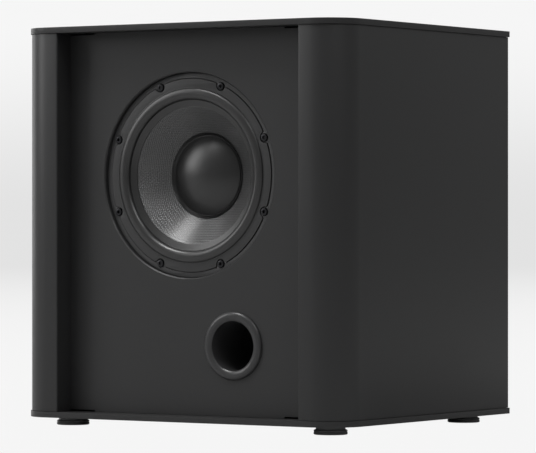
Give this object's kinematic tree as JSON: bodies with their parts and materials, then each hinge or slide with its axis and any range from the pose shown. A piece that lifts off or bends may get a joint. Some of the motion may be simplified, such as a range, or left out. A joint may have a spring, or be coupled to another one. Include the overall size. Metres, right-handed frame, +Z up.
{
  "type": "subwoofer",
  "caption": "Black box subwoofer with rounded front posts, a recessed baffle holding a round bass driver above a flared port, and an amplifier plate behind.",
  "frame": {"origin": "on the floor plane, below the centre of the whole outline", "axes": "+Z up, the baffle and driver face -Y, the amplifier plate faces +Y"},
  "size_m": [0.396, 0.3454, 0.409],
  "materials": {
    "cabinet_lacquer": "satin black lacquer on fibreboard",
    "baffle_paint": "matt black paint on fibreboard",
    "fibreboard": "black-stained fibreboard",
    "port_moulding": "satin black moulding",
    "port_card": "black tube",
    "driver_casting": "black painted casting",
    "trim_rubber": "matt black rubber",
    "surround_rubber": "butyl rubber",
    "woven_cone": "woven fibre in black resin",
    "dust_cap_satin": "satin black",
    "spider_cloth": "resin-dipped cloth",
    "former_film": "amber film on a metal former",
    "copper_wire": "enamelled copper winding",
    "plated_steel": "zinc plated",
    "ferrite": "sintered ferrite",
    "terminal_laminate": "paper laminate",
    "tinsel_braid": "woven copper tinsel",
    "black_steel": "black oxide",
    "lead_red": "red insulation",
    "lead_black": "black insulation",
    "foot_moulding": "black moulding with a soft sole",
    "amp_powder_coat": "black powder coat",
    "folded_steel": "folded zinc-plated sheet",
    "circuit_board": "green solder mask",
    "transformer_tape": "taped toroidal winding",
    "capacitor_sleeve": "printed sleeve",
    "switch_nylon": "black nylon",
    "pot_can": "pressed can",
    "shaft_aluminium": "turned shaft",
    "knob_plastic": "satin black",
    "nickel_plating": "nickel plated",
    "lamp_lens": "clear blue lens"
  },
  "bodies": {
    "cabinet": {"top_plate": "cabinet_lacquer", "bottom_plate": "cabinet_lacquer", "left_side_panel": "cabinet_lacquer", "right_side_panel": "cabinet_lacquer", "baffle": "baffle_paint", "back_panel": "fibreboard", "window_brace": "fibreboard", "port_mouth": "port_moulding", "port_tube": "port_card", "driver_basket": "driver_casting", "trim_ring": "trim_rubber", "surround": "surround_rubber", "spider": "spider_cloth", "front_pole_plate": "plated_steel", "pole_yoke": "plated_steel", "magnet": "ferrite", "terminal_strip": "terminal_laminate", "tinsel_lead_left": "tinsel_braid", "tinsel_lead_right": "tinsel_braid", "driver_screw_1": "black_steel", "driver_screw_2": "black_steel", "driver_screw_3": "black_steel", "driver_screw_4": "black_steel", "driver_screw_5": "black_steel", "driver_screw_6": "black_steel", "driver_screw_7": "black_steel", "driver_screw_8": "black_steel", "speaker_lead_red": "lead_red", "speaker_lead_black": "lead_black", "foot_front_left": "foot_moulding", "foot_front_right": "foot_moulding", "foot_back_left": "foot_moulding", "foot_back_right": "foot_moulding", "amp_plate": "amp_powder_coat", "amp_housing": "folded_steel", "amp_board": "circuit_board", "transformer": "transformer_tape", "filter_capacitor": "capacitor_sleeve", "mains_inlet": "switch_nylon", "power_switch_frame": "switch_nylon", "phase_switch": "switch_nylon", "mode_switch": "switch_nylon", "level_pot": "pot_can", "crossover_pot": "pot_can", "left_input_jack": "nickel_plating", "right_input_jack": "nickel_plating", "led_lens": "lamp_lens"},
    "cone_assembly": {"cone": "woven_cone", "dust_cap": "dust_cap_satin", "coil_former": "former_film", "voice_coil": "copper_wire"},
    "level_control": {"level_shaft": "shaft_aluminium", "level_knob": "knob_plastic"},
    "crossover_control": {"crossover_shaft": "shaft_aluminium", "crossover_knob": "knob_plastic"},
    "power_rocker": {"power_rocker": "switch_nylon"},
    "phase_lever": {"phase_slider": "switch_nylon"},
    "mode_lever": {"mode_slider": "switch_nylon"},
    "fuse_carrier": {"fuse_drawer": "switch_nylon"}
  },
  "joints": [
    {"name": "cone_travel", "type": "slide", "parent": "cabinet", "child": "cone_assembly", "axis": [0, -1, 0], "range_m": [-0.008, 0.008], "stiffness_N_per_m": 1500, "deforming": ["surround", "spider", "tinsel_lead_left", "tinsel_lead_right"]},
    {"name": "level_turn", "type": "hinge", "parent": "cabinet", "child": "level_control", "pos_m": [0.045, 0.1614, 0.289], "axis": [0, -1, 0], "range_deg": [0, 300]},
    {"name": "crossover_turn", "type": "hinge", "parent": "cabinet", "child": "crossover_control", "pos_m": [-0.045, 0.1614, 0.289], "axis": [0, -1, 0], "range_deg": [0, 300]},
    {"name": "power_rock", "type": "hinge", "parent": "cabinet", "child": "power_rocker", "pos_m": [-0.045, 0.1584, 0.123], "axis": [1, 0, 0], "range_deg": [0, 16]},
    {"name": "phase_slide", "type": "slide", "parent": "cabinet", "child": "phase_lever", "axis": [-1, 0, 0], "range_m": [0, 0.003]},
    {"name": "mode_slide", "type": "slide", "parent": "cabinet", "child": "mode_lever", "axis": [-1, 0, 0], "range_m": [0, 0.006]},
    {"name": "fuse_drawer_pull", "type": "slide", "parent": "cabinet", "child": "fuse_carrier", "axis": [0, 1, 0], "range_m": [0, 0.014]}
  ]
}
